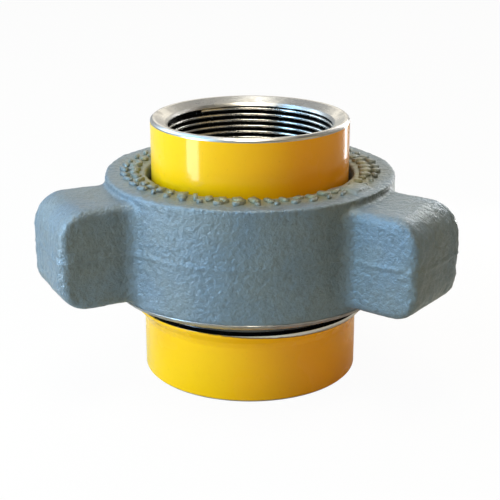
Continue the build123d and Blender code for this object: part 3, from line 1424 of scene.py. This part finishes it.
@dataclass
class WingNut:
    """The cast wing nut: one skin for the forging, a turned foot and the thread inside."""

    paint: bpy.types.Material
    foot_steel: bpy.types.Material
    thread: bpy.types.Material
    union: UnionThread
    lug: Lug = field(default_factory=Lug)
    marks: CastMarks = field(default_factory=CastMarks)
    waves: CastSkin = field(default_factory=CastSkin)
    lug_turns: tuple = (90.0, 210.0, 330.0)
    tip_x: float = 109.8
    body_r: float = 74.4
    neck_r: float = 52.2
    neck_mouth_r: float = 53.7
    neck_mouth_depth: float = 5.0
    chamber_r: float = 62.0
    chamber_top: float = 84.0
    cone_top: float = 92.2
    foot_bevel: float = 3.0
    foot_wall: float = 1.2  # thickness of the turned steel under the foot
    foot_cover: float = 0.4  # how far it laps over the thread's root
    foot_proud: float = 0.05
    foot_tuck: Point = (0.6, 0.5)  # how its upper edge dips behind the paint
    cast_foot: Point = (0.5, 0.6)  # the casting stands this far inside the turned foot
    cast_ease: float = 0.2
    foot_round: float = 0.25
    skin_voxel: float = 1.03
    relax_share: float = 0.5
    relax_times: int = 3
    turned_wall: float = 1.2  # spots this near the chamber's wall stay true
    turned_depth: float = 2.0
    pad_turn: float = 328.0  # the block that stands on the top face
    pad_r: float = 64.5
    pad_size: tuple = (9.0, 13.0, 5.0)
    pad_sink: float = 0.3
    foot: float = field(init=False)
    top: float = field(init=False)

    def __post_init__(self) -> None:
        """Take the nut's heights from the frame."""
        low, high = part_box("wing_nut")
        self.foot = low.z / MM
        self.top = high.z / MM

    def build(self) -> list[bpy.types.Object]:
        """Make the forging's skin, the turned foot, the thread and the marks."""
        skin = self._skin()
        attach(skin, Body.NUT.value)
        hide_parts("wing_nut")

        foot = lathe("nut_turned_foot", soften(self._foot_outline(), self.foot_round), (self.foot_steel,))
        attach(foot, Body.NUT.value)

        thread = link("nut_thread", self.union.nut_ridge(self.foot).mesh(self.thread), ())
        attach(thread, Body.NUT.value)

        marks = link("nut_cast_marks", self.marks.mesh(self.top, self.paint), (self.paint,))
        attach(marks, Body.NUT.value)
        return [skin, foot, thread, marks]

    def _foot_outline(self) -> list[Point]:
        """The corners of the turned steel that shows under the nut and on its bevel."""
        bevel_r = self.body_r - self.foot_bevel
        bevel_top = self.foot + self.foot_bevel
        inner_r = self.union.nut_root_r - self.foot_cover
        tuck_in, tuck_up = self.foot_tuck
        return [
            (inner_r, self.foot),
            (bevel_r, self.foot),
            (self.body_r + self.foot_proud, bevel_top),
            (self.body_r - tuck_in, bevel_top + tuck_up),
            (bevel_r - self.foot_cover, self.foot + self.foot_wall),
            (inner_r, self.foot + self.foot_wall),
        ]

    def _cast_outline(self) -> list[Point]:
        """The corners of the forging's round body."""
        inset, rise = self.cast_foot
        return [
            (self.chamber_r, self.foot + rise),
            (self.body_r - self.foot_bevel - inset, self.foot + rise),
            (self.body_r, self.foot + self.foot_bevel + self.cast_ease),
            (self.body_r, self.top),
            (self.neck_mouth_r, self.top),
            (self.neck_r, self.top - self.neck_mouth_depth),
            (self.neck_r, self.cone_top),
            (self.chamber_r, self.chamber_top),
        ]

    def _skin(self) -> bpy.types.Object:
        """Unite body, lugs and pad, soften them as a forging is, then roughen them.

        Returns:
            The forging as one piece.
        """
        body = lathe("nut_skin", self._cast_outline(), (self.paint,))
        work = bmesh.new()
        work.from_mesh(body.data)
        for turn in self.lug_turns:
            self.lug.add_to(work, self.tip_x, self.body_r, math.radians(turn))
        self._add_pad(work)
        bmesh.ops.recalc_face_normals(work, faces=work.faces)
        work.to_mesh(body.data)
        work.free()
        remesh = body.modifiers.new("skin", "REMESH")
        remesh.mode = "VOXEL"
        remesh.voxel_size = self.skin_voxel * MM
        relax = body.modifiers.new("relax", "SMOOTH")
        relax.factor = self.relax_share
        relax.iterations = self.relax_times
        mesh = bake(body, "nut_skin")
        self._roughen(mesh)
        mesh.materials.clear()
        mesh.shade_smooth()
        return link("nut_skin", mesh, (self.paint,))

    def _add_pad(self, work: bmesh.types.BMesh) -> None:
        """Add the rounded block that stands on the top face.

        Args:
            work: the mesh that gains the block.
        """
        long, wide, tall = self.pad_size
        for vert in bmesh.ops.create_cube(work, size=1.0)["verts"]:
            x, y, z = vert.co
            height = z * tall + self.top - self.pad_sink
            vert.co = turned(x * long + self.pad_r, y * wide, height, math.radians(self.pad_turn))

    def _roughen(self, mesh: bpy.types.Mesh) -> None:
        """Move the cast surfaces by the skin's waves; turned ones stay true.

        Args:
            mesh: the forging's mesh, changed in place.
        """
        normals = [vert.normal.copy() for vert in mesh.vertices]
        for vert, normal in zip(mesh.vertices, normals):
            spot = vert.co / MM
            in_chamber = math.hypot(spot.x, spot.y) < self.chamber_r + self.turned_wall
            on_foot = spot.z < self.foot + self.foot_bevel + 2 * self.cast_ease
            if on_foot or (in_chamber and spot.z < self.top - self.turned_depth):
                continue
            vert.co += normal * self.waves.push(spot, normal, self) * MM


# ---------------------------------------------------------------- studio, in metres


@dataclass(frozen=True)
class Lamp:
    """One area lamp, hung at a spot and faced at the union."""

    name: str
    spot: tuple
    size: tuple
    power: float
    colour: tuple
    aim_height: float = 0.07

    def hang(self) -> None:
        """Make the lamp and turn it to the union's axis."""
        lamp = bpy.data.lights.new(self.name, "AREA")
        lamp.shape = "RECTANGLE"
        lamp.size, lamp.size_y = self.size
        lamp.energy = self.power
        lamp.color = self.colour
        holder = bpy.data.objects.new(self.name, lamp)
        holder.location = self.spot
        holder.visible_camera = False
        aim = Vector((0, 0, min(self.spot[2], self.aim_height))) - Vector(self.spot)
        holder.rotation_euler = aim.to_track_quat("-Z", "Y").to_euler()
        bpy.context.scene.collection.objects.link(holder)


LAMPS = (
    Lamp("left_window", (-1.03, -0.70, 0.5), (0.3, 1.2), 27.0, (0.38, 0.68, 1.0)),
    Lamp("left_fill", (-1.2, 0.35, 0.7), (0.8, 0.8), 11.0, (0.64, 0.82, 1.0)),
    Lamp("back_panel", (0.0, 1.5, 0.75), (1.3, 0.5), 3.4, (1.0, 0.93, 0.78)),
    Lamp("back_window", (-0.1, 0.5, 1.3), (0.12, 0.3), 0.8, (1.0, 1.0, 0.95)),
    Lamp("right_fill", (1.2, -0.5, 0.5), (1.0, 1.0), 3.5, (1.0, 0.74, 0.32)),
    Lamp("overhead", (-0.03, -0.2, 1.3), (0.45, 0.8), 15.5, (1.0, 0.92, 0.76)),
    Lamp("roof_window", (-0.72, 0.06, 1.1), (0.2, 0.6), 3.5, (0.35, 0.65, 1.0)),
    Lamp("front_bounce", (0.02, -0.25, 0.014), (0.3, 0.024), 0.045, (0.9, 1.0, 0.7)),
    Lamp("left_strip", (-0.235, -0.151, 0.085), (0.075, 0.08), 0.26, (1.0, 0.96, 0.88)),
    Lamp("right_strip", (0.19, 0.235, 0.16), (0.035, 0.3), 0.4, (1.0, 1.0, 1.0)),
)


@dataclass
class Studio:
    """Pale floor, soft lamps and the camera."""

    distance: float = 0.6114
    height: float = 0.2717
    azimuth: float = 5.0
    pitch_down: float = 18.96
    lens: float = 88.24
    sensor: float = 36.0
    floor_reach: float = 6.0
    soft: tuple = (0.66, 0.61, 0.50, 1)
    soft_strength: float = 0.14
    paper: tuple = (0.5, 0.48, 0.43, 1)
    white: tuple = (1, 1, 1, 1)
    backdrop_in_gloss: float = 0.5
    floor_in_gloss: float = 0.1
    floor_white: float = 0.96

    def build(self) -> None:
        """Make world, floor, lamps and camera."""
        self._world()
        self._floor()
        for lamp in LAMPS:
            lamp.hang()
        self._camera()

    def _world(self) -> None:
        """White to the camera, and in reflections where the backdrop stands; soft grey as light."""
        world = bpy.data.worlds.new("studio")
        bpy.context.scene.world = world
        world.use_nodes = True
        graph = Graph(world.node_tree)
        heading = graph.node("ShaderNodeTexCoord", out="Generated")
        backdrop = graph.node("ShaderNodeSeparateXYZ", {}, {0: heading}, out="Y").step(0.05, 0.6)
        seen = graph.node("ShaderNodeLightPath", out="Is Camera Ray")
        seen = seen + graph.node("ShaderNodeLightPath", out="Is Transmission Ray")
        gloss = graph.node("ShaderNodeLightPath", out="Is Glossy Ray")
        seen = seen + gloss * backdrop * self.backdrop_in_gloss
        soft = graph.node("ShaderNodeBackground", {}, {"Color": self.soft, "Strength": self.soft_strength})
        white = graph.node("ShaderNodeBackground", {}, {"Color": self.white, "Strength": 1.0})
        mixed = graph.node("ShaderNodeMixShader", {}, {0: seen, 1: soft, 2: white})
        graph.node("ShaderNodeOutputWorld", {}, {"Surface": mixed})

    def _floor(self) -> None:
        """Lay a wide floor that reads as white but keeps a soft shadow."""
        mesh = bpy.data.meshes.new("floor")
        reach = self.floor_reach
        corners = [(-reach, -reach, 0), (reach, -reach, 0), (reach, reach, 0), (-reach, reach, 0)]
        mesh.from_pydata(corners, [], [(0, 1, 2, 3)])
        material = bpy.data.materials.new("floor")
        material.use_nodes = True
        graph = Graph(material.node_tree)
        seen = graph.node("ShaderNodeLightPath", out="Is Camera Ray")
        seen = seen + graph.node("ShaderNodeLightPath", out="Is Glossy Ray") * self.floor_in_gloss
        paper = graph.node("ShaderNodeBsdfDiffuse", {}, {"Color": self.paper})
        glow = graph.node("ShaderNodeEmission", {}, {"Color": self.white, "Strength": 1.0})
        mixed = graph.node("ShaderNodeMixShader", {}, {0: seen * self.floor_white, 1: paper, 2: glow})
        graph.node("ShaderNodeOutputMaterial", {}, {"Surface": mixed})
        link("floor", mesh, (material,))

    def _camera(self) -> None:
        """Stand the camera in front, a little above, looking at the axis."""
        camera = bpy.data.cameras.new("camera")
        camera.lens = self.lens
        camera.sensor_width = self.sensor
        holder = bpy.data.objects.new("camera", camera)
        turn = math.radians(self.azimuth)
        holder.location = (self.distance * math.sin(turn), -self.distance * math.cos(turn), self.height)
        holder.rotation_euler = (math.radians(90 - self.pitch_down), 0, turn)
        bpy.context.scene.collection.objects.link(holder)
        bpy.context.scene.camera = holder


def main() -> None:
    """Build every piece in order and report it."""
    logging.basicConfig(level=logging.INFO, format="%(name)s: %(message)s")
    mouth = PipeMouth()
    union = UnionThread()
    enamel = GlossEnamel().build()
    steel = TurnedSteel().build()
    thread = ThreadSteel(mouth.mouth_r, mouth.recess_depth, mouth.taper).build()
    pieces = ThreadedEnd(enamel, steel, thread, SealRubber().build(), mouth, union).build()
    pieces += NoseEnd(enamel, steel, thread, mouth).build()
    pieces += WingNut(CastPaint().build(), NutFootSteel().build(), thread, union).build()
    for piece in pieces:
        log.info("%s: %d faces", piece.name, len(piece.data.polygons))
    Studio().build()
    view = bpy.context.scene.view_settings
    view.view_transform = "Standard"


if __name__ == "__main__":
    main()
